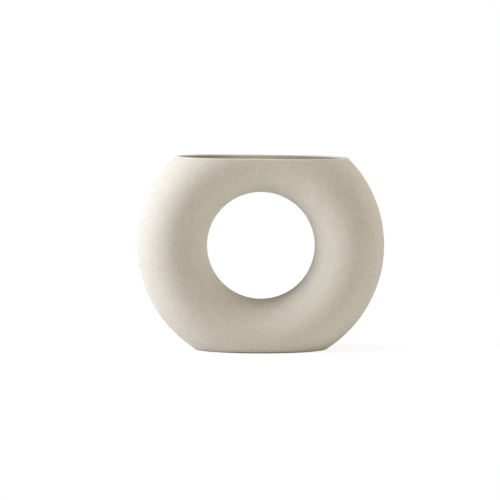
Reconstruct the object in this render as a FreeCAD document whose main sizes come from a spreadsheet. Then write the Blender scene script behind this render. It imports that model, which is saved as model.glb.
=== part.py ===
import FreeCAD, Part
import Sketcher
import os

# A donut vase: a hollow ring of cast stoneware, cut flat at the foot and open at the mouth.
#
# The round tube runs in a circle about the Y axis, so the hole through the ring looks along Y and X is the
# vase's width. The cut at the top opens the tube, and water and stems go from there down both sides of the
# ring. A coat of clear glaze lines the inside, and four felt discs in a shallow oval recess under the foot
# keep the clay off the table. Z is zero at the lower faces of the felt, and the origin lies right under the
# middle of the ring.

# Each size is a name, its value in millimetres (in degrees for the slope) and what it measures.
SIZES = (
    ("ring_diameter", 143.6, "circle that the middle of the tube follows"),
    ("tube_diameter", 56.4, "outside of the tube"),
    ("clay_wall", 3.2, "thickness of the cast wall"),
    ("rim_cut", 27.9, "height that the upper cut takes off the ring, at the middle of the mouth"),
    ("rim_slope", 0.6, "angle by which the mouth, cut by hand, falls towards +X"),
    ("lip_radius", 1.1, "rounding of both edges of the rim"),
    ("foot_cut", 15.8, "height that the lower cut takes off the ring"),
    ("foot_edge_radius", 2.0, "rounding between the ring and the foot"),
    ("foot_width", 6.0, "clay left round the recess, across the foot and along it"),
    ("recess_depth", 1.2, "depth of the oval recess under the foot"),
    ("floor_thickness", 4.4, "clay between the foot and the water"),
    ("cove_radius", 4.0, "rounding between the wall and the floor, inside"),
    ("glaze_coat", 0.4, "thickness of the glaze"),
    ("glaze_stop", 5.0, "how far below the rim the glaze ends"),
    ("felt_diameter", 10.0, "felt disc"),
    ("felt_thickness", 1.6, "felt disc"),
    ("felt_edge_radius", 0.3, "softened lower edge of a felt disc"),
    ("overrun", 5.0, "how far a cut reaches past what it cuts"),
)

# Places of the felt discs, as shares of the recess's half length and half width.
FELT_ALONG_SHARE = 0.65
FELT_ACROSS_SHARE = 0.38
FELT_DISCS = (
    ("felt_disc_front_left", -FELT_ALONG_SHARE, -FELT_ACROSS_SHARE),
    ("felt_disc_front_right", FELT_ALONG_SHARE, -FELT_ACROSS_SHARE),
    ("felt_disc_back_left", -FELT_ALONG_SHARE, FELT_ACROSS_SHARE),
    ("felt_disc_back_right", FELT_ALONG_SHARE, FELT_ACROSS_SHARE),
)

# What follows from the sizes. Levels are measured from the middle of the ring, upwards or downwards.
RING_RADIUS = "(Sizes.ring_diameter / 2)"
TUBE_RADIUS = "(Sizes.tube_diameter / 2)"
WATER_RADIUS = f"({TUBE_RADIUS} - Sizes.clay_wall)"
OUTER_RADIUS = f"({RING_RADIUS} + {TUBE_RADIUS})"
RIM_LEVEL = f"({OUTER_RADIUS} - Sizes.rim_cut)"
FOOT_LEVEL = f"({OUTER_RADIUS} - Sizes.foot_cut)"
FLOOR_LEVEL = f"({FOOT_LEVEL} - Sizes.floor_thickness)"
FOOT_HALF_LENGTH = f"sqrt({OUTER_RADIUS} ^ 2 - {FOOT_LEVEL} ^ 2)"
FOOT_HALF_WIDTH = f"sqrt({TUBE_RADIUS} ^ 2 - ({FOOT_LEVEL} - {RING_RADIUS}) ^ 2)"
RECESS_HALF_LENGTH = f"({FOOT_HALF_LENGTH} - Sizes.foot_width)"
RECESS_HALF_WIDTH = f"({FOOT_HALF_WIDTH} - Sizes.foot_width)"
FOOT_HEIGHT = "(Sizes.felt_thickness - Sizes.recess_depth)"
RING_HEIGHT = f"({FOOT_HEIGHT} + {FOOT_LEVEL})"
CUT_REACH = f"({OUTER_RADIUS} + Sizes.overrun)"
CUT_WIDTH = "(Sizes.tube_diameter + Sizes.overrun)"
RIM_RISE = f"({CUT_REACH} * tan(Sizes.rim_slope * 1 deg))"

doc = FreeCAD.newDocument("DonutVase")
sheet = doc.addObject("Spreadsheet::Sheet", "Sizes")
for row, (size_name, size_value, meaning) in enumerate(SIZES, 1):
    sheet.set(f"A{row}", size_name)
    sheet.set(f"B{row}", str(size_value))
    sheet.setAlias(f"B{row}", size_name)
    sheet.set(f"C{row}", meaning)
doc.recompute()


# Sketches

def new_sketch(body, name, plane):
    """A sketch on one of the body's own origin planes."""
    sketch = body.newObject("Sketcher::SketchObject", f"{body.Name}_{name}")
    origin_plane = [item for item in body.Origin.OriginFeatures if item.Role == plane][0]
    sketch.AttachmentSupport = [(origin_plane, "")]
    sketch.MapMode = "FlatFace"
    return sketch


def bind(sketch, name, kind, *places_and_formula):
    """A measured constraint that follows a formula, under a name."""
    *places, formula = places_and_formula
    index = sketch.addConstraint(Sketcher.Constraint(kind, *places, sheet.evalExpression(formula)))
    sketch.renameConstraint(index, name)
    sketch.setExpression(f"Constraints.{name}", formula)


def draw_circle(sketch, across, diameter):
    """A circle on the sketch's horizontal axis, this far across from the middle."""
    middle = FreeCAD.Vector(sheet.evalExpression(across), 0, 0)
    radius = sheet.evalExpression(diameter) / 2
    circle = sketch.addGeometry(Part.Circle(middle, FreeCAD.Vector(0, 0, 1), radius), False)
    sketch.addConstraint(Sketcher.Constraint("PointOnObject", circle, 3, -1))
    bind(sketch, "across", "DistanceX", -1, 1, circle, 3, across)
    bind(sketch, "diameter", "Diameter", circle, diameter)


def draw_ellipse(sketch, half_length, half_width):
    """An ellipse round the sketch's middle, with its length along the horizontal axis."""
    semi_major = sheet.evalExpression(half_length)
    semi_minor = sheet.evalExpression(half_width)
    ellipse = sketch.addGeometry(Part.Ellipse(FreeCAD.Vector(), semi_major, semi_minor), False)
    sketch.exposeInternalGeometry(ellipse)
    major_axis, minor_axis = ellipse + 1, ellipse + 2
    sketch.addConstraint(Sketcher.Constraint("Coincident", ellipse, 3, -1, 1))
    sketch.addConstraint(Sketcher.Constraint("Horizontal", major_axis))
    bind(sketch, "length", "Distance", major_axis, f"2 * {half_length}")
    bind(sketch, "width", "Distance", minor_axis, f"2 * {half_width}")


def draw_outline(sketch, corners):
    """A closed outline through named corners, each a name and two formulas."""
    points = []
    for _, across, up in corners:
        points.append(FreeCAD.Vector(sheet.evalExpression(across), sheet.evalExpression(up), 0))
    lines = []
    for start, end in zip(points, points[1:] + points[:1]):
        lines.append(sketch.addGeometry(Part.LineSegment(start, end), False))
    for line, following in zip(lines, lines[1:] + lines[:1]):
        sketch.addConstraint(Sketcher.Constraint("Coincident", line, 2, following, 1))
    for line, (name, across, up) in zip(lines, corners):
        bind(sketch, f"{name}_across", "DistanceX", -1, 1, line, 1, across)
        bind(sketch, f"{name}_up", "DistanceY", -1, 1, line, 1, up)


# Features

def new_body(name):
    """An empty body under this name."""
    body = doc.addObject("PartDesign::Body", name)
    body.Label = name
    return body


def check_cut(feature, before):
    """Stops if a cut took nothing away."""
    doc.recompute()
    if not feature.Shape.Volume < before.Volume:
        raise RuntimeError(f"{feature.Name} cuts nothing")


def revolve_ring(body, tube_radius):
    """A full ring of round tube about the Y axis, with its seam on the side of the hole, clear of the mouth."""
    sketch = new_sketch(body, "tube", "XY_Plane")
    draw_circle(sketch, f"-{RING_RADIUS}", f"2 * {tube_radius}")
    ring = body.newObject("PartDesign::Revolution", f"{body.Name}_ring")
    ring.Profile = sketch
    ring.ReferenceAxis = (sketch, ["V_Axis"])
    doc.recompute()


def slice_off(body, name, left_level, right_level, far_level):
    """Takes off what lies between a level, given at the left and right of the cut, and a far one."""
    before = body.Shape
    sketch = new_sketch(body, name, "XZ_Plane")
    draw_outline(sketch, (
        ("near_left", f"-{CUT_REACH}", left_level),
        ("near_right", CUT_REACH, right_level),
        ("far_right", CUT_REACH, far_level),
        ("far_left", f"-{CUT_REACH}", far_level),
    ))
    cut = body.newObject("PartDesign::Pocket", f"{body.Name}_{name}_cut")
    cut.Profile = sketch
    cut.SideType = "Symmetric"
    cut.setExpression("Length", CUT_WIDTH)
    check_cut(cut, before)


def flat_face(body, lowest):
    """The name of the body's lowest or highest flat face."""
    pick = min if lowest else max
    flat = [face for face in enumerate(body.Shape.Faces, 1) if isinstance(face[1].Surface, Part.Plane)]
    return f"Face{pick(flat, key=lambda face: face[1].CenterOfMass.z)[0]}"


def round_flat_face(body, name, radius, lowest=True):
    """Rounds every edge of the body's lowest or highest flat face."""
    before = body.Shape
    base = (body.Tip, [flat_face(body, lowest)])
    fillet = body.newObject("PartDesign::Fillet", f"{body.Name}_{name}")
    fillet.Base = base
    fillet.setExpression("Radius", radius)
    check_cut(fillet, before)


def hollow_out(body, core):
    """Cuts another body out of this one."""
    before = body.Shape
    hollow = body.newObject("PartDesign::Boolean", f"{body.Name}_hollow")
    hollow.Type = "Cut"
    hollow.setObjects([core])
    check_cut(hollow, before)


def flat_bottomed_ring(name, tube_radius, bottom_level, edge_radius):
    """A solid ring of tube, cut flat below and rounded round the cut."""
    body = new_body(name)
    revolve_ring(body, tube_radius)
    slice_off(body, "bottom", f"-{bottom_level}", f"-{bottom_level}", f"-{CUT_REACH}")
    round_flat_face(body, "bottom_edge", edge_radius)
    return body


def open_mouth(body, middle_level):
    """Cuts the top of the ring off along the slope of the mouth."""
    left_level = f"{middle_level} + {RIM_RISE}"
    right_level = f"{middle_level} - {RIM_RISE}"
    slice_off(body, "mouth", left_level, right_level, CUT_REACH)


# Pieces

def make_vase_body():
    """The clay: a flat-footed ring, open at the mouth and hollow down to its floor."""
    body = flat_bottomed_ring("vase_body", TUBE_RADIUS, FOOT_LEVEL, "Sizes.foot_edge_radius")
    open_mouth(body, RIM_LEVEL)
    water_space = flat_bottomed_ring("water_space", WATER_RADIUS, FLOOR_LEVEL, "Sizes.cove_radius")
    hollow_out(body, water_space)
    round_flat_face(body, "lip", "Sizes.lip_radius", lowest=False)
    cut_recess(body)
    body.setExpression("Placement.Base.z", RING_HEIGHT)
    return body


def cut_recess(body):
    """The oval recess under the foot, which leaves the clay standing clear of the table."""
    before = body.Shape
    sketch = new_sketch(body, "recess", "XY_Plane")
    sketch.setExpression("AttachmentOffset.Base.z", f"Sizes.recess_depth - {FOOT_LEVEL}")
    draw_ellipse(sketch, RECESS_HALF_LENGTH, RECESS_HALF_WIDTH)
    recess = body.newObject("PartDesign::Pocket", f"{body.Name}_recess_cut")
    recess.Profile = sketch
    recess.setExpression("Length", "Sizes.recess_depth + Sizes.overrun")
    check_cut(recess, before)


def make_inner_glaze():
    """The glaze: a coat on the wall and floor of the water space, from just below the rim."""
    body = flat_bottomed_ring("inner_glaze", WATER_RADIUS, FLOOR_LEVEL, "Sizes.cove_radius")
    open_mouth(body, f"({RIM_LEVEL} - Sizes.glaze_stop)")
    core = flat_bottomed_ring(
        "glaze_core",
        f"({WATER_RADIUS} - Sizes.glaze_coat)",
        f"({FLOOR_LEVEL} - Sizes.glaze_coat)",
        "Sizes.cove_radius - Sizes.glaze_coat",
    )
    hollow_out(body, core)
    body.setExpression("Placement.Base.z", RING_HEIGHT)
    return body


def make_felt_disc(name, along_share, across_share):
    """A felt disc that stands out of the recess by the difference of its thickness and the recess's depth."""
    body = new_body(name)
    sketch = new_sketch(body, "round", "XY_Plane")
    draw_circle(sketch, "0", "Sizes.felt_diameter")
    disc = body.newObject("PartDesign::Pad", f"{name}_pad")
    disc.Profile = sketch
    disc.setExpression("Length", "Sizes.felt_thickness")
    doc.recompute()
    round_flat_face(body, "edge", "Sizes.felt_edge_radius")
    body.setExpression("Placement.Base.x", f"{along_share} * {RECESS_HALF_LENGTH}")
    body.setExpression("Placement.Base.y", f"{across_share} * {RECESS_HALF_WIDTH}")
    return body


pieces = [make_vase_body(), make_inner_glaze()]
for disc_name, along, across in FELT_DISCS:
    pieces.append(make_felt_disc(disc_name, along, across))
doc.recompute()

for item in doc.Objects:
    if {"Invalid", "Error"} & set(item.State):
        raise RuntimeError(f"{item.Name} failed: {item.State}")
for piece in pieces:
    if piece.Shape.isNull() or not piece.Shape.isValid():
        raise RuntimeError(f"{piece.Label} has no valid shape")

os.makedirs("parts", exist_ok=True)
for piece in pieces:
    piece.Shape.exportStep(f"parts/{piece.Label}.step")
    print(f"{piece.Label}: {piece.Shape.Volume / 1000:.3f} cm3")
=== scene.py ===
import math

import bmesh
import bpy
import numpy as np
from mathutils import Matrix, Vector, noise


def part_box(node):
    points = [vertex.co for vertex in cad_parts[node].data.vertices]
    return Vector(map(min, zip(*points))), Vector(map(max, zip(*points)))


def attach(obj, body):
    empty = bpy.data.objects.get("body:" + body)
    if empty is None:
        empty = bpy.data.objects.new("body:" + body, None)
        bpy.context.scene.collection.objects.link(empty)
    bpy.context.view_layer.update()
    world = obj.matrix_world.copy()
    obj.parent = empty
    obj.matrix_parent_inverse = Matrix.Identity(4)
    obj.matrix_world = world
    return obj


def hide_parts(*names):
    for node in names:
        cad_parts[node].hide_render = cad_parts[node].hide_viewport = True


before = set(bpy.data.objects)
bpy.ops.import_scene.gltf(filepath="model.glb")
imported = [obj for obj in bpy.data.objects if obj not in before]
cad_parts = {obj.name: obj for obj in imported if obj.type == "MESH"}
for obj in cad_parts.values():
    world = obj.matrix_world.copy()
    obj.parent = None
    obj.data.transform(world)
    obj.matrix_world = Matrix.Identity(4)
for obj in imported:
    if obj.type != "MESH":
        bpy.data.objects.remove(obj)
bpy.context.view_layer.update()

# The ring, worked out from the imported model. Lengths are in metres throughout.
BODY_LOW, BODY_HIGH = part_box("vase_body")
TUBE_RADIUS = (BODY_HIGH.y - BODY_LOW.y) / 2
RING_RADIUS = (BODY_HIGH.x - BODY_LOW.x) / 2 - TUBE_RADIUS
FOOT_DROP = 0.0842
RIM_RISE = 0.0721
RIM_SLOPE = math.tan(math.radians(0.6))
MIDDLE = np.array((0, 0, BODY_LOW.z + FOOT_DROP))
FOOT_HALF_LENGTH = math.sqrt((RING_RADIUS + TUBE_RADIUS) ** 2 - FOOT_DROP ** 2)
FOOT_HALF_WIDTH = math.sqrt(TUBE_RADIUS ** 2 - (FOOT_DROP - RING_RADIUS) ** 2)

# The clay and the glaze on it.
WALL = 0.0032
FLOOR = 0.0044
LIP_RADIUS = 0.0011
FOOT_EDGE_RADIUS = 0.002
FOOT_WIDTH = 0.006
RECESS_DEPTH = 0.0012
RECESS_EDGE_RADIUS = 0.0003
COVE_RADIUS = 0.004
GLAZE_COAT = 0.0004
GLAZE_STOP = 0.005
GLAZE_SUNK = 0.00002

# The meshes' grids: cells round the ring and the tube, and the blocks of cells that the cuts take out.
RING_CELLS = 288
TUBE_CELLS = 96
MOUTH_CELLS = (72, 12)
FOOT_CELLS = (50, 12)
ROUNDING_STEPS = 5

# How finely the places of the edges and of the cells round them are worked out.
EDGE_SAMPLES = 2401
HALVINGS = 50
SLIDE_STEPS = 12
RELAX_ROUNDS = 400
RELAX_STRIDE = 1.85


# Points and the tube

def tube_direction(points):
    """The way out of the tube from each point, and how far the point is from the tube's middle."""
    from_axis = np.hypot(points[..., 0], points[..., 2])
    across = from_axis - RING_RADIUS
    distance = np.hypot(across, points[..., 1])
    share = across / (distance * from_axis)
    direction = np.stack((share * points[..., 0], points[..., 1] / distance, share * points[..., 2]), -1)
    return direction, distance


def onto_tube(points, radius):
    """Each point moved straight onto a tube of this radius."""
    direction, distance = tube_direction(points)
    return points + direction * (radius - distance)[..., None]


def tube_angles(points):
    """Where each point lies round the ring, from the top, and round the tube, from its outside."""
    round_ring = np.arctan2(points[..., 0], points[..., 2])
    across = np.hypot(points[..., 0], points[..., 2]) - RING_RADIUS
    return np.stack((round_ring, np.arctan2(-points[..., 1], across)), -1)


def tube_points(angles, radius):
    """The points of a tube of this radius at these angles."""
    from_axis = RING_RADIUS + radius * np.cos(angles[..., 1])
    across = -radius * np.sin(angles[..., 1])
    return np.stack((from_axis * np.sin(angles[..., 0]), across, from_axis * np.cos(angles[..., 0])), -1)


class Cut:
    """A flat cut through the ring, above or below its middle."""

    def __init__(self, up, level, slope, cells):
        self.up = up
        self.level = level
        self.slope = slope
        self.cells = cells
        self.count = 2 * sum(cells)

    def height(self, x, depth):
        """The height of the cut, set back into the ring by a depth."""
        return self.up * (self.level - depth) - self.slope * x

    def edge(self, radius, depth):
        """Evenly spaced points where the cut meets a tube, from the left end round by the front."""
        turn = np.linspace(0, 2 * np.pi, EDGE_SAMPLES)
        heading = np.stack((-np.cos(turn), -np.sin(turn)), -1)
        near = np.zeros(len(turn))
        far = np.full(len(turn), RING_RADIUS + radius)
        for _ in range(HALVINGS):
            reach = (near + far) / 2
            across = heading * reach[:, None]
            points = np.column_stack((across, self.height(across[:, 0], depth)))
            inside = tube_direction(points)[1] < radius
            near = np.where(inside, reach, near)
            far = np.where(inside, far, reach)
        length = np.concatenate(([0], np.cumsum(np.linalg.norm(np.diff(points, axis=0), axis=1))))
        wanted = np.linspace(0, length[-1], self.count + 1)[:-1]
        points = np.column_stack([np.interp(wanted, length, points[:, axis]) for axis in range(3)])
        return onto_tube(points, radius)

    def outward(self, edge):
        """The level direction away from the opening at each point of its edge."""
        along = np.roll(edge, -1, 0) - np.roll(edge, 1, 0)
        away = np.column_stack((along[:, 1], -along[:, 0], np.zeros(len(edge))))
        away *= np.sign((away * edge).sum(1))[:, None]
        return away / np.linalg.norm(away, axis=1)[:, None]

    def beside(self, edge, radius, depth, offset):
        """Points at a depth beside each edge point, this far outside the tube, or inside if negative."""
        outward = self.outward(edge)
        slide = np.zeros(len(edge))
        for _ in range(SLIDE_STEPS):
            points = edge + outward * slide[:, None]
            points[:, 2] = self.height(points[:, 0], depth)
            direction, distance = tube_direction(points)
            slide -= (distance - radius - offset) / (direction * outward).sum(1)
        return points

    def rounding(self, edge, radius, round_radius, outside=True):
        """Loops of the rounding between the cut and the tube's outside, or its inside."""
        side = 1 if outside else -1
        centres = self.beside(edge, radius, round_radius, -side * round_radius)
        to_tube = side * tube_direction(centres)[0]
        to_cut = np.array((0, 0, self.up))
        between = np.arccos(np.clip(to_tube @ to_cut, -1, 1))[:, None]
        loops = []
        for share in np.linspace(0, 1, ROUNDING_STEPS + 1):
            turned = np.sin((1 - share) * between) * to_cut + np.sin(share * between) * to_tube
            loops.append(centres + round_radius * turned / np.sin(between))
        return loops

    def block(self):
        """The cell numbers, round the ring and round the tube, of the points of its edge."""
        along, across = self.cells
        start = round(RING_CELLS / 2) if self.up < 0 else 0
        front = [(step, across // 2) for step in range(-along // 2, along // 2)]
        right = [(along // 2, step) for step in range(across // 2, -across // 2, -1)]
        back = [(step, -across // 2) for step in range(along // 2, -along // 2, -1)]
        left = [(-along // 2, step) for step in range(-across // 2, across // 2)]
        places = np.array(left[across // 2:] + front + right + back + left[:across // 2])
        return (places[:, 0] * self.up + start) % RING_CELLS, places[:, 1] % TUBE_CELLS


MOUTH = Cut(1, RIM_RISE, RIM_SLOPE, MOUTH_CELLS)
FOOT = Cut(-1, FOOT_DROP, 0, FOOT_CELLS)
WATER_FLOOR = Cut(-1, FOOT_DROP - FLOOR, 0, FOOT_CELLS)
GLAZE_FLOOR = Cut(-1, FOOT_DROP - FLOOR - GLAZE_COAT, 0, FOOT_CELLS)
GLAZE_BACK_FLOOR = Cut(-1, FOOT_DROP - FLOOR + GLAZE_SUNK, 0, FOOT_CELLS)


# Meshes

class Surface:
    """Points and faces of one piece, added bit by bit."""

    def __init__(self):
        self.points = []
        self.faces = []

    def add(self, points):
        """Adds points and gives their numbers, in the same layout."""
        first = sum(len(part) for part in self.points)
        self.points.append(points.reshape(-1, 3))
        return first + np.arange(points.size // 3).reshape(points.shape[:-1])

    def quads(self, numbers, closed_rows=False, closed_columns=False, keep=None):
        """Adds a face between each four neighbours in a grid of point numbers."""
        following = numbers
        if closed_rows:
            following = np.concatenate((following, following[:1]), 0)
        if closed_columns:
            following = np.concatenate((following, following[:, :1]), 1)
        corners = (following[:-1, :-1], following[1:, :-1], following[1:, 1:], following[:-1, 1:])
        faces = np.stack(corners, -1)
        self.faces.append(faces.reshape(-1, 4) if keep is None else faces[keep])

    def strip(self, first, loops, last=None):
        """Faces from a loop of numbered points through new loops, and on to another numbered one."""
        rows = [first] + [self.add(loop) for loop in loops]
        if last is not None:
            rows.append(last)
        self.quads(np.array(rows), closed_columns=True)
        return rows[-1]

    def skin(self, radius, cut_edges):
        """A tube round the ring, less the cells in its cuts. Gives the numbers of the cuts' edges."""
        ring = np.arange(RING_CELLS) * 2 * np.pi / RING_CELLS
        tube = np.arange(TUBE_CELLS) * 2 * np.pi / TUBE_CELLS
        even = np.stack(np.meshgrid(ring, tube, indexing="ij"), -1)
        moves = np.zeros(even.shape)
        pinned = np.zeros(even.shape[:2], bool)
        keep = np.ones(even.shape[:2], bool)
        for cut, edge in cut_edges:
            rows, columns = cut.block()
            move = tube_angles(edge) - even[rows, columns]
            moves[rows, columns] = (move + np.pi) % (2 * np.pi) - np.pi
            pinned[rows, columns] = True
            along, across = cut.cells
            start = rows[len(rows) // 2] if cut.up < 0 else rows[0]
            block_rows = (start + np.arange(along)) % RING_CELLS
            keep[np.ix_(block_rows, np.arange(-across // 2, across // 2) % TUBE_CELLS)] = False
        angles = even + relax(moves, ~pinned)
        numbers = self.add(tube_points(angles, radius))
        self.quads(numbers, True, True, keep)
        return [numbers[cut.block()] for cut, _ in cut_edges]

    def patch(self, loop, cut):
        """Fills a loop of numbered points with a grid of as many cells as the cut's block."""
        along, across = cut.cells
        points = np.concatenate(self.points)[loop]
        turn = across // 2
        corners = np.cumsum((turn, along, across, along))
        front = np.arange(corners[0], corners[1] + 1)
        right = np.arange(corners[1], corners[2] + 1)
        back = np.arange(corners[2], corners[3] + 1)[::-1]
        left = np.arange(corners[3], corners[3] + across + 1)[::-1] % len(loop)
        to_right = np.linspace(0, 1, along + 1)[:, None, None]
        to_back = np.linspace(0, 1, across + 1)[None, :, None]
        sides = (1 - to_back) * points[front][:, None] + to_back * points[back][:, None]
        ends = (1 - to_right) * points[left][None] + to_right * points[right][None]
        front_line = (1 - to_right) * points[front[0]] + to_right * points[front[-1]]
        back_line = (1 - to_right) * points[back[0]] + to_right * points[back[-1]]
        four_corners = (1 - to_back) * front_line + to_back * back_line
        numbers = np.zeros((along + 1, across + 1), int)
        numbers[:, 0], numbers[:, -1] = loop[front], loop[back]
        numbers[0], numbers[-1] = loop[left], loop[right]
        numbers[1:-1, 1:-1] = self.add((sides + ends - four_corners)[1:-1, 1:-1])
        self.quads(numbers)

    def builder(self):
        """The points in use and the faces, in place in the vase."""
        faces = np.concatenate(self.faces)
        used, faces = np.unique(faces, return_inverse=True)
        builder = bmesh.new()
        points = [builder.verts.new(point) for point in np.concatenate(self.points)[used] + MIDDLE]
        for corners in faces.reshape(-1, 4):
            builder.faces.new([points[corner] for corner in corners])
        return builder


def make_piece(name, builder, material, node):
    """Makes a piece of the vase, in place of the node that it stands for."""
    bmesh.ops.recalc_face_normals(builder, faces=builder.faces)
    mesh = bpy.data.meshes.new(name)
    builder.to_mesh(mesh)
    builder.free()
    mesh.materials.append(material)
    mesh.shade_smooth()
    piece = bpy.data.objects.new(name, mesh)
    bpy.context.scene.collection.objects.link(piece)
    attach(piece, "root")
    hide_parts(node)
    return piece


def relax(moves, free):
    """Spreads the moves of a grid's pinned points evenly over the free ones between them."""
    checks = (np.indices(free.shape).sum(0) % 2).astype(bool)
    for _ in range(RELAX_ROUNDS):
        for half in (checks & free, ~checks & free):
            mean = sum(np.roll(moves, step, axis) for step in (1, -1) for axis in (0, 1)) / 4
            moves[half] += RELAX_STRIDE * (mean - moves)[half]
    return moves


def between(first, last, shares):
    """Loops at these shares of the way between two loops."""
    return [first + share * (last - first) for share in shares]


# The vase

WATER_RADIUS = TUBE_RADIUS - WALL

# How far behind each cut the tube's grid ends and the loops of its edge begin.
MOUTH_HANDOVER = 0.003
FOOT_HANDOVER = 0.002
COVE_HANDOVER = 0.004

# Where the loops lie between an edge and the next, and how many turn round the recess's edge.
LIP_SHARES = (0.45, 0.8)
INNER_LIP_SHARES = (0.2, 0.55)
FOOT_SHARES = (0.33, 0.67)
HALFWAY_SHARES = (0.5,)
RECESS_EDGE_STEPS = 4

# The dips in the clay's surface.
RELIEF_DEPTH = 0.00012
RELIEF_LENGTHS = (0.034, 0.011)
RELIEF_SHARES = (0.8, 0.2)


def add_lip(clay, first, edge, last):
    """The rounded rim, from the numbered edge of the outer skin to that of the inner one."""
    outer = MOUTH.rounding(edge, TUBE_RADIUS, LIP_RADIUS)
    inner = MOUTH.rounding(edge, WATER_RADIUS, LIP_RADIUS, outside=False)
    inner_edge = MOUTH.beside(edge, WATER_RADIUS, MOUTH_HANDOVER, 0)
    up = [onto_tube(loop, TUBE_RADIUS) for loop in between(edge, outer[-1], LIP_SHARES)]
    down = [onto_tube(loop, WATER_RADIUS) for loop in between(inner[-1], inner_edge, INNER_LIP_SHARES)]
    middle = between(outer[0], inner[0], HALFWAY_SHARES)
    clay.strip(first, up + outer[::-1] + middle + inner + down, last)


def recess_loop(edge, grown, depth):
    """The oval of the recess under the foot, grown by a length, at a depth above the foot."""
    turn = np.arctan2(edge[:, 1] / FOOT_HALF_WIDTH, edge[:, 0] / FOOT_HALF_LENGTH)
    along = (FOOT_HALF_LENGTH - FOOT_WIDTH + grown) * np.cos(turn)
    across = (FOOT_HALF_WIDTH - FOOT_WIDTH + grown) * np.sin(turn)
    return np.column_stack((along, across, np.full(len(turn), depth - FOOT_DROP)))


def add_foot(clay, first, edge):
    """The rounded foot and the recess in it."""
    rounding = FOOT.rounding(edge, TUBE_RADIUS, FOOT_EDGE_RADIUS)
    down = [onto_tube(loop, TUBE_RADIUS) for loop in between(edge, rounding[-1], HALFWAY_SHARES)]
    rim = []
    for turn in np.linspace(0, math.pi / 2, RECESS_EDGE_STEPS):
        grown = RECESS_EDGE_RADIUS * (1 - math.sin(turn))
        rim.append(recess_loop(edge, grown, RECESS_EDGE_RADIUS * (1 - math.cos(turn))))
    flat = between(rounding[0], rim[0], FOOT_SHARES)
    walls = [recess_loop(edge, 0, depth) for depth in (RECESS_DEPTH - RECESS_EDGE_RADIUS, RECESS_DEPTH)]
    inset = recess_loop(edge, -RECESS_EDGE_RADIUS, RECESS_DEPTH)
    clay.patch(clay.strip(first, down + rounding[::-1] + flat + rim + walls + [inset]), FOOT)


def add_floor(surface, first, edge, cut, radius, cove_radius):
    """The floor of the water space, with its cove."""
    cove = cut.rounding(edge, radius, cove_radius)
    down = [onto_tube(loop, radius) for loop in between(edge, cove[-1], HALFWAY_SHARES)]
    surface.patch(surface.strip(first, down + cove[::-1]), cut)


def add_inside(surface, radius, mouth_edge, cut, cove_radius):
    """The wall and floor of the water space below an edge. Gives the numbers of the edge."""
    floor_edge = cut.edge(radius, COVE_HANDOVER)
    mouth_numbers, floor_numbers = surface.skin(radius, ((MOUTH, mouth_edge), (cut, floor_edge)))
    add_floor(surface, floor_numbers, floor_edge, cut, radius, cove_radius)
    return mouth_numbers


def make_clay():
    """The clay, one closed surface outside and in."""
    clay = Surface()
    mouth_edge = MOUTH.edge(TUBE_RADIUS, MOUTH_HANDOVER)
    foot_edge = FOOT.edge(TUBE_RADIUS, FOOT_HANDOVER)
    inner_edge = MOUTH.beside(mouth_edge, WATER_RADIUS, MOUTH_HANDOVER, 0)
    outer_numbers, foot_numbers = clay.skin(TUBE_RADIUS, ((MOUTH, mouth_edge), (FOOT, foot_edge)))
    inner_numbers = add_inside(clay, WATER_RADIUS, inner_edge, WATER_FLOOR, COVE_RADIUS)
    add_lip(clay, outer_numbers, mouth_edge, inner_numbers)
    add_foot(clay, foot_numbers, foot_edge)
    return make_piece("vase", clay.builder(), stoneware(), "vase_body")


def add_relief(piece):
    """Lets the surface dip a little into the clay, as cast and sponged clay does."""
    vertices = piece.data.vertices
    places = np.zeros((len(vertices), 3), np.float32)
    normals = np.zeros((len(vertices), 3), np.float32)
    vertices.foreach_get("co", places.ravel())
    vertices.foreach_get("normal", normals.ravel())
    depths = np.zeros(len(vertices))
    for length, share in zip(RELIEF_LENGTHS, RELIEF_SHARES):
        depths += [share * (0.5 + 0.5 * noise.noise(place)) for place in places / length]
    places -= normals * (RELIEF_DEPTH * np.clip(depths, 0, 1))[:, None]
    vertices.foreach_set("co", places.ravel())
    piece.data.update()


# The glaze inside

GLAZE_HANDOVER = 0.008
GLAZE_WAVE = 0.0011
GLAZE_WAVE_LENGTH = 0.03

# The bead from below: each share of the way to the glaze's edge, and the thickness there in coats.
GLAZE_BEAD_SHARES = ((0.9, 1.0), (0.55, 1.1), (0.3, 1.35), (0.14, 1.3), (0.05, 0.9))


def make_glaze():
    """A coat on the wall and floor of the water space, with a beaded, wavy upper edge."""
    glaze = Surface()
    plan = MOUTH.edge(TUBE_RADIUS, MOUTH_HANDOVER)
    front_radius = WATER_RADIUS - GLAZE_COAT
    back_radius = WATER_RADIUS + GLAZE_SUNK
    wave = np.array([0.5 + 0.5 * noise.noise(Vector(point) / GLAZE_WAVE_LENGTH) for point in plan])
    top = GLAZE_STOP + GLAZE_WAVE * wave
    front_edge = MOUTH.beside(plan, front_radius, GLAZE_HANDOVER, 0)
    back_edge = MOUTH.beside(plan, back_radius, GLAZE_HANDOVER, 0)
    front = add_inside(glaze, front_radius, front_edge, GLAZE_FLOOR, COVE_RADIUS - GLAZE_COAT)
    back = add_inside(glaze, back_radius, back_edge, GLAZE_BACK_FLOOR, COVE_RADIUS)
    bead = []
    for share, thickness in GLAZE_BEAD_SHARES:
        depth = top + share * (GLAZE_HANDOVER - top)
        bead.append(MOUTH.beside(plan, WATER_RADIUS, depth, -thickness * GLAZE_COAT))
    behind = [MOUTH.beside(plan, back_radius, top, 0)]
    glaze.strip(front, bead + behind, back)
    return make_piece("glaze", glaze.builder(), clear_glaze(), "inner_glaze")


# The felt discs

FELT_EDGE_RADIUS = 0.0004
FELT_DIP_SHARE = 0.016
FELT_DIP_LENGTH = 0.0009
FELT_SIDES = 64
FELT_RINGS = 10
FELT_EDGE_STEPS = 4


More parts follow.
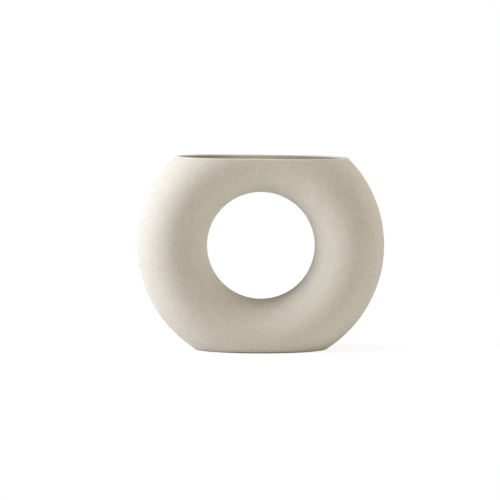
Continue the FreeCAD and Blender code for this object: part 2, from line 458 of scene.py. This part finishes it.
def make_felt_disc(node, wool):
    """A pressed felt disc with softened edges and a slightly uneven face."""
    low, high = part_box(node)
    radius = (high.x - low.x) / 2
    outline = [(radius * step / FELT_RINGS, low.z) for step in range(1, FELT_RINGS)]
    quarter = math.pi / 2
    for middle_height, start in ((low.z + FELT_EDGE_RADIUS, -quarter), (high.z - FELT_EDGE_RADIUS, 0)):
        for turn in np.linspace(start, start + quarter, FELT_EDGE_STEPS):
            reach = radius - FELT_EDGE_RADIUS * (1 - math.cos(turn))
            outline.append((reach, middle_height + FELT_EDGE_RADIUS * math.sin(turn)))
    outline += [(radius * step / FELT_RINGS, high.z) for step in range(FELT_RINGS - 1, 0, -1)]
    builder = bmesh.new()
    middle = Vector(((low.x + high.x) / 2, (low.y + high.y) / 2, 0))
    rows = []
    for reach, height in outline:
        row = []
        for step in range(FELT_SIDES):
            turn = 2 * math.pi * step / FELT_SIDES
            point = middle + Vector((reach * math.cos(turn), reach * math.sin(turn), height))
            point += (Vector((middle.x, middle.y, (low.z + high.z) / 2)) - point) * felt_dip(point)
            row.append(builder.verts.new(point))
        rows.append(row)
    for lower, upper in zip(rows, rows[1:]):
        for step in range(FELT_SIDES):
            after = (step + 1) % FELT_SIDES
            builder.faces.new((lower[step], lower[after], upper[after], upper[step]))
    for row, height in ((rows[0], low.z), (rows[-1], high.z)):
        centre = builder.verts.new(middle + Vector((0, 0, height)))
        for step in range(FELT_SIDES):
            builder.faces.new((row[step], row[(step + 1) % FELT_SIDES], centre))
    return make_piece(node.replace("disc", "pad"), builder, wool, node)


def felt_dip(point):
    """How far a point of the felt is drawn in, as a share of its distance from the middle."""
    return FELT_DIP_SHARE * (0.5 + 0.5 * noise.noise(point / FELT_DIP_LENGTH))


# Materials

# Colours.
CLAY_LIGHT = (0.746, 0.686, 0.570, 1)
CLAY_DARK = (0.609, 0.557, 0.458, 1)
CLAY_DARKER_LOW = (0.560, 0.505, 0.410, 1)
CLAY_RUBBED_AND_HIGHLIT = (0.790, 0.730, 0.625, 1)
GLAZE_LIGHT = (0.640, 0.580, 0.470, 1)
GLAZE_DARK = (0.540, 0.475, 0.365, 1)
FELT_LIGHT = (0.520, 0.480, 0.410, 1)
FELT_DARK = (0.360, 0.325, 0.270, 1)
PAPER = (0.8, 0.8, 0.8, 1)
WHITE = (1, 1, 1, 1)

# Patterns of noise, each the length of its features, its detail and its roughness.
CLOUDS = (0.045, 3, 0.55)
PATCHES = (0.007, 3, 0.6)
SPONGED = (0.0035, 2, 0.5)
SAND = (0.0009, 3, 0.65)
GLAZE_CLOUDS = (0.02, 3, 0.5)
RIPPLE = (0.006, 1, 0.4)
PITTING = (0.0008, 1, 0.5)
FIBRES = (0.0005, 4, 0.7)

# Noise lies mostly between these values, and the mean of two layers nearer the middle.
NOISE_RANGE = (0.3, 0.7)
LAYERED_RANGE = (0.35, 0.65)

# The clay's tone, from clouds to sand, its bumps and its polish.
TONE_SHARES = (0.15, 0.2, 0.25, 0.4)
SPONGED_DEPTH = 0.00005
SAND_DEPTH = 0.00003
CLAY_ROUGHNESS = (0.82, 0.94)
CLAY_SPECULAR = 0.35

# The pinholes, found in a share of the cells of a grid, and the height of the darker band above the
# foot.
PINHOLE_SPACING = 0.0048
PINHOLE_SHARE = 0.16
PINHOLE_RADIUS = 0.00028
PINHOLE_DEPTH = 0.00012
DARKER_BAND_HEIGHT = 0.004

# The glaze pools up to this height, and clouds take its colour this far on the way to the pooled one.
POOL_HEIGHT = 0.05
GLAZE_CLOUD_SHARE = 0.6
RIPPLE_DEPTH = 0.00006
PITTING_DEPTH = 0.000004
GLAZE_ROUGHNESS = (0.12, 0.22)

# The felt's fibres lie in two layers, each drawn out one way.
FIBRE_STRETCHES = ((3, 1, 1), (1, 3, 1))
FIBRE_DEPTH = 0.0001
FELT_ROUGHNESS = (0.9, 1.0)
FELT_SPECULAR = 0.2


class Shading:
    """A material's nodes, added one by one."""

    def __init__(self, name):
        self.material = bpy.data.materials.new(name)
        self.material.use_nodes = True
        self.tree = self.material.node_tree
        self.shader = self.tree.nodes["Principled BSDF"]
        self.place = self.tree.nodes.new("ShaderNodeTexCoord").outputs["Object"]

    def node(self, kind, settings=None, **inputs):
        """Adds a node with these settings, and its inputs linked or set."""
        node = self.tree.nodes.new("ShaderNode" + kind)
        for name, value in (settings or {}).items():
            setattr(node, name, value)
        for name, value in inputs.items():
            socket = node.inputs[int(name[1:]) if name[1:].isdigit() else name.replace("_", " ")]
            self.feed(socket, value)
        return node

    def feed(self, socket, value):
        """Links a socket to another, or sets its value."""
        if isinstance(value, bpy.types.NodeSocket):
            self.tree.links.new(value, socket)
        else:
            socket.default_value = value

    def noise(self, length, detail, roughness, place=None):
        """Noise whose features are about this long."""
        place = place or self.place
        made = self.node("TexNoise", Vector=place, Scale=1 / length, Detail=detail, Roughness=roughness)
        return made.outputs["Fac"]

    def maths(self, operation, first, second=0.0, third=0.0):
        """The result of a sum on sockets or numbers."""
        return self.node("Math", {"operation": operation}, _0=first, _1=second, _2=third).outputs[0]

    def total(self, *parts):
        """The sum of values, each times its share."""
        result = 0.0
        for value, share in parts:
            result = self.maths("MULTIPLY_ADD", value, share, result)
        return result

    def spread(self, value, low, high, to_low=0.0, to_high=1.0):
        """A value moved from one range to another, and kept in it."""
        limits = {"From_Min": low, "From_Max": high, "To_Min": to_low, "To_Max": to_high}
        return self.node("MapRange", Value=value, **limits).outputs[0]

    def spread_noise(self, noise, to_low=0.0, to_high=1.0):
        """Noise spread over a range."""
        return self.spread(noise, *NOISE_RANGE, to_low, to_high)

    def mix(self, share, first, second):
        """A colour between two."""
        node = self.node("Mix", {"data_type": "RGBA"}, _0=share, _6=first, _7=second)
        return node.outputs[2]

    def spots(self, spacing, radius, share):
        """Round spots in a share of a grid's cells: one inside a spot, fading to zero outside."""
        cells = self.node("TexVoronoi", Vector=self.place, Scale=1 / spacing)
        near = self.spread(cells.outputs["Distance"], 0.5 * radius / spacing, radius / spacing, 1.0, 0.0)
        pick = self.node("SeparateColor", Color=cells.outputs["Color"]).outputs[0]
        return self.maths("MULTIPLY", near, self.maths("LESS_THAN", pick, share))

    def bumps(self, *layers):
        """A chain of bumps, each a height from zero to one and its depth in metres."""
        normal = None
        for height, depth in layers:
            inputs = {"Height": height, "Distance": depth, "Strength": 1.0}
            if normal:
                inputs["Normal"] = normal
            normal = self.node("Bump", **inputs).outputs[0]
        self.feed(self.shader.inputs["Normal"], normal)


def stoneware():
    """Bare fired clay: cream and matte, with soft clouds, a fine sandy grain and a few pinholes."""
    clay = Shading("stoneware")
    clouds = clay.noise(*CLOUDS)
    patches = clay.noise(*PATCHES)
    sponged = clay.noise(*SPONGED)
    sand = clay.noise(*SAND)
    layers = [clay.spread_noise(layer) for layer in (clouds, patches, sponged, sand)]
    tone = clay.total(*zip(layers, TONE_SHARES))
    colour = clay.mix(tone, CLAY_DARK, CLAY_LIGHT)

    along, _, height = clay.node("SeparateXYZ", Vector=clay.place).outputs
    # The clay is darker in patches towards the foot.
    above_foot = clay.maths("SUBTRACT", height, BODY_LOW.z)
    low_down = clay.spread(above_foot, 0.0, DARKER_BAND_HEIGHT, 1.0, 0.0)
    darker_low = clay.maths("MULTIPLY", low_down, clay.spread_noise(patches))
    colour = clay.mix(darker_low, colour, CLAY_DARKER_LOW)
    # The rim is lighter: partly rubbed clay, partly a painted highlight on the top of the lip.
    above_middle = clay.maths("SUBTRACT", height, MIDDLE[2] + RIM_RISE)
    above_rim = clay.maths("MULTIPLY_ADD", along, RIM_SLOPE, above_middle)
    rubbed_and_highlit = clay.spread(above_rim, -LIP_RADIUS, 0.0)
    colour = clay.mix(rubbed_and_highlit, colour, CLAY_RUBBED_AND_HIGHLIT)

    clay.feed(clay.shader.inputs["Base Color"], colour)
    clay.feed(clay.shader.inputs["Roughness"], clay.spread_noise(sand, *CLAY_ROUGHNESS))
    clay.shader.inputs["Specular IOR Level"].default_value = CLAY_SPECULAR
    pinholes = clay.spots(PINHOLE_SPACING, PINHOLE_RADIUS, PINHOLE_SHARE)
    filled = clay.maths("SUBTRACT", 1.0, pinholes)
    clay.bumps((sponged, SPONGED_DEPTH), (sand, SAND_DEPTH), (filled, PINHOLE_DEPTH))
    return clay.material


def clear_glaze():
    """Clear glaze: wet-looking, with a faint ripple, and deeper in colour where it pools."""
    glaze = Shading("clear_glaze")
    height = glaze.node("SeparateXYZ", Vector=glaze.place).outputs[2]
    pool = glaze.spread(height, BODY_LOW.z, BODY_LOW.z + POOL_HEIGHT, 1.0, 0.0)
    clouds = glaze.spread_noise(glaze.noise(*GLAZE_CLOUDS), 0.0, GLAZE_CLOUD_SHARE)
    colour = glaze.mix(glaze.maths("MAXIMUM", pool, clouds), GLAZE_LIGHT, GLAZE_DARK)
    glaze.feed(glaze.shader.inputs["Base Color"], colour)
    ripple = glaze.noise(*RIPPLE)
    glaze.feed(glaze.shader.inputs["Roughness"], glaze.spread_noise(ripple, *GLAZE_ROUGHNESS))
    glaze.bumps((ripple, RIPPLE_DEPTH), (glaze.noise(*PITTING), PITTING_DEPTH))
    return glaze.material


def felt():
    """Pressed wool felt: short fibres that lie every way."""
    wool = Shading("felt")
    layers = []
    for stretch in FIBRE_STRETCHES:
        stretched = wool.node("VectorMath", {"operation": "MULTIPLY"}, _0=wool.place, _1=stretch)
        layers.append((wool.noise(*FIBRES, stretched.outputs[0]), 1 / len(FIBRE_STRETCHES)))
    tangle = wool.total(*layers)
    fibres = wool.spread(tangle, *LAYERED_RANGE)
    wool.feed(wool.shader.inputs["Base Color"], wool.mix(fibres, FELT_DARK, FELT_LIGHT))
    wool.feed(wool.shader.inputs["Roughness"], wool.spread(tangle, *LAYERED_RANGE, *FELT_ROUGHNESS))
    wool.shader.inputs["Specular IOR Level"].default_value = FELT_SPECULAR
    wool.bumps((tangle, FIBRE_DEPTH))
    return wool.material


# The studio

METRES_PER_PIXEL = 0.000811
FOCAL_LENGTH_PX = 2168
IMAGE_SIZE_PX = 500
RING_MIDDLE_PX = (260.9, 245.5)
CAMERA_ELEVATION = math.radians(6.1)

# The floor glows, but dims under the foot in a painted shadow, and turns plain white between these
# distances from the vase.
FLOOR_SIZE = 40.0
FLOOR_GREY = (0.3, 0.3, 0.3, 1)
FLOOR_GLOW = 0.82
FLOOR_GLOW_IN_PAINTED_FOOT_SHADOW = 0.05
FOOT_SHADE_SHARES = (0.96, 1.02)
SHADOW_FADE = (0.3, 0.6)

# Each lamp is a name, its azimuth and elevation in degrees, its size, its power and its colour.
LAMP_DISTANCE = 1.2
LAMPS = (
    ("left_side", -82, 6, 0.4, 9.5, (0.87, 0.88, 1.0)),
    ("left_high", -75, 38, 0.4, 5.3, (0.82, 0.87, 1.0)),
    ("left_top", -90, 52, 0.4, 3.6, (0.63, 0.80, 1.0)),
    ("front", 30, 12, 0.7, 3.5, (1.0, 0.88, 0.64)),
    ("right_side", 75, 0, 0.4, 2.3, (0.68, 0.76, 1.0)),
    ("right_back", 120, 20, 0.4, 3.8, (0.93, 0.87, 1.0)),
    ("right_top", 120, 60, 0.7, 1.5, (0.95, 1.0, 0.60)),
    ("overhead", 0, 88, 0.4, 3.3, (1.0, 1.0, 1.0)),
)
WORLD_STRENGTH = 0.1


def make_camera():
    """The photograph's view, with the middle of the ring at its place in the picture."""
    data = bpy.data.cameras.new("camera")
    data.lens = FOCAL_LENGTH_PX * data.sensor_width / IMAGE_SIZE_PX
    camera = bpy.data.objects.new("camera", data)
    bpy.context.scene.collection.objects.link(camera)
    back = Vector((0, -math.cos(CAMERA_ELEVATION), math.sin(CAMERA_ELEVATION)))
    up = Vector((0, math.sin(CAMERA_ELEVATION), math.cos(CAMERA_ELEVATION)))
    camera.location = Vector(MIDDLE) + back * METRES_PER_PIXEL * FOCAL_LENGTH_PX
    right_px = IMAGE_SIZE_PX / 2 - RING_MIDDLE_PX[0]
    down_px = IMAGE_SIZE_PX / 2 - RING_MIDDLE_PX[1]
    aim = Vector(MIDDLE) + (Vector((1, 0, 0)) * right_px - up * down_px) * METRES_PER_PIXEL
    camera.rotation_euler = (aim - camera.location).to_track_quat("-Z", "Y").to_euler()
    bpy.context.scene.camera = camera


def make_lamp(name, azimuth, elevation, size, power, colour):
    """A soft square lamp that faces the vase. Azimuth 0 is in front, and 90 on the right."""
    data = bpy.data.lights.new(name, "AREA")
    data.size = size
    data.energy = power
    data.color = colour
    lamp = bpy.data.objects.new(name, data)
    bpy.context.scene.collection.objects.link(lamp)
    turn, lift = math.radians(azimuth), math.radians(elevation)
    level = Vector((math.sin(turn), -math.cos(turn), 0)) * math.cos(lift)
    lamp.location = Vector(MIDDLE) + (level + Vector((0, 0, math.sin(lift)))) * LAMP_DISTANCE
    lamp.rotation_euler = (Vector(MIDDLE) - lamp.location).to_track_quat("-Z", "Y").to_euler()


def camera_share(shading):
    """One for what the camera sees straight, in a mirror or through glass."""
    path = shading.node("LightPath").outputs
    seen = shading.maths("MAXIMUM", path["Is Camera Ray"], path["Is Glossy Ray"])
    return shading.maths("MAXIMUM", seen, path["Is Transmission Ray"])


def make_floor():
    """A floor that looks white, but for the vase's shadow and a painted shadow under its foot, and
    lights the vase as white paper does.
    """
    paper = Shading("paper")
    paper.shader.inputs["Base Color"].default_value = PAPER
    paper.shader.inputs["Roughness"].default_value = 1.0
    paper.shader.inputs["Specular IOR Level"].default_value = 0.0
    per_foot = (1 / FOOT_HALF_LENGTH, 1 / FOOT_HALF_WIDTH, 0)
    shares = paper.node("VectorMath", {"operation": "MULTIPLY"}, _0=paper.place, _1=per_foot)
    foot_share = paper.node("VectorMath", {"operation": "LENGTH"}, _0=shares.outputs[0]).outputs["Value"]
    # The glow dims under the foot's oval: a painted shadow under the vase.
    strength = paper.spread(foot_share, *FOOT_SHADE_SHARES, FLOOR_GLOW_IN_PAINTED_FOOT_SHADOW, FLOOR_GLOW)
    grey = paper.node("BsdfDiffuse", Color=FLOOR_GREY)
    glow = paper.node("Emission", Color=WHITE, Strength=strength)
    near = paper.node("AddShader", _0=grey.outputs[0], _1=glow.outputs[0])
    white = paper.node("Emission", Color=WHITE, Strength=1.0)
    distance = paper.node("VectorMath", {"operation": "LENGTH"}, _0=paper.place).outputs["Value"]
    fade = paper.spread(distance, *SHADOW_FADE)
    seen = paper.node("MixShader", _0=fade, _1=near.outputs[0], _2=white.outputs[0])
    lit = paper.shader.outputs[0]
    both = paper.node("MixShader", _0=camera_share(paper), _1=lit, _2=seen.outputs[0])
    paper.feed(paper.tree.nodes["Material Output"].inputs["Surface"], both.outputs[0])
    mesh = bpy.data.meshes.new("floor")
    half = FLOOR_SIZE / 2
    corners = [(-half, -half, 0), (half, -half, 0), (half, half, 0), (-half, half, 0)]
    mesh.from_pydata(corners, [], [(0, 1, 2, 3)])
    mesh.materials.append(paper.material)
    floor = bpy.data.objects.new("floor", mesh)
    bpy.context.scene.collection.objects.link(floor)


def make_world():
    """White to look at, and a weak even light on the vase."""
    world = bpy.data.worlds.new("studio")
    world.use_nodes = True
    bpy.context.scene.world = world
    nodes, links = world.node_tree.nodes, world.node_tree.links
    background = nodes["Background"]
    path = nodes.new("ShaderNodeLightPath").outputs
    strength = nodes.new("ShaderNodeMath")
    strength.operation = "MAXIMUM"
    links.new(path["Is Camera Ray"], strength.inputs[0])
    strength.inputs[1].default_value = WORLD_STRENGTH
    links.new(strength.outputs[0], background.inputs["Strength"])
    background.inputs["Color"].default_value = WHITE


# The picture

clay = make_clay()
add_relief(clay)
make_glaze()
wool = felt()
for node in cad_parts:
    if node.startswith("felt_disc"):
        make_felt_disc(node, wool)

make_camera()
make_world()
make_floor()
for lamp in LAMPS:
    make_lamp(*lamp)
bpy.context.scene.view_settings.view_transform = "Standard"
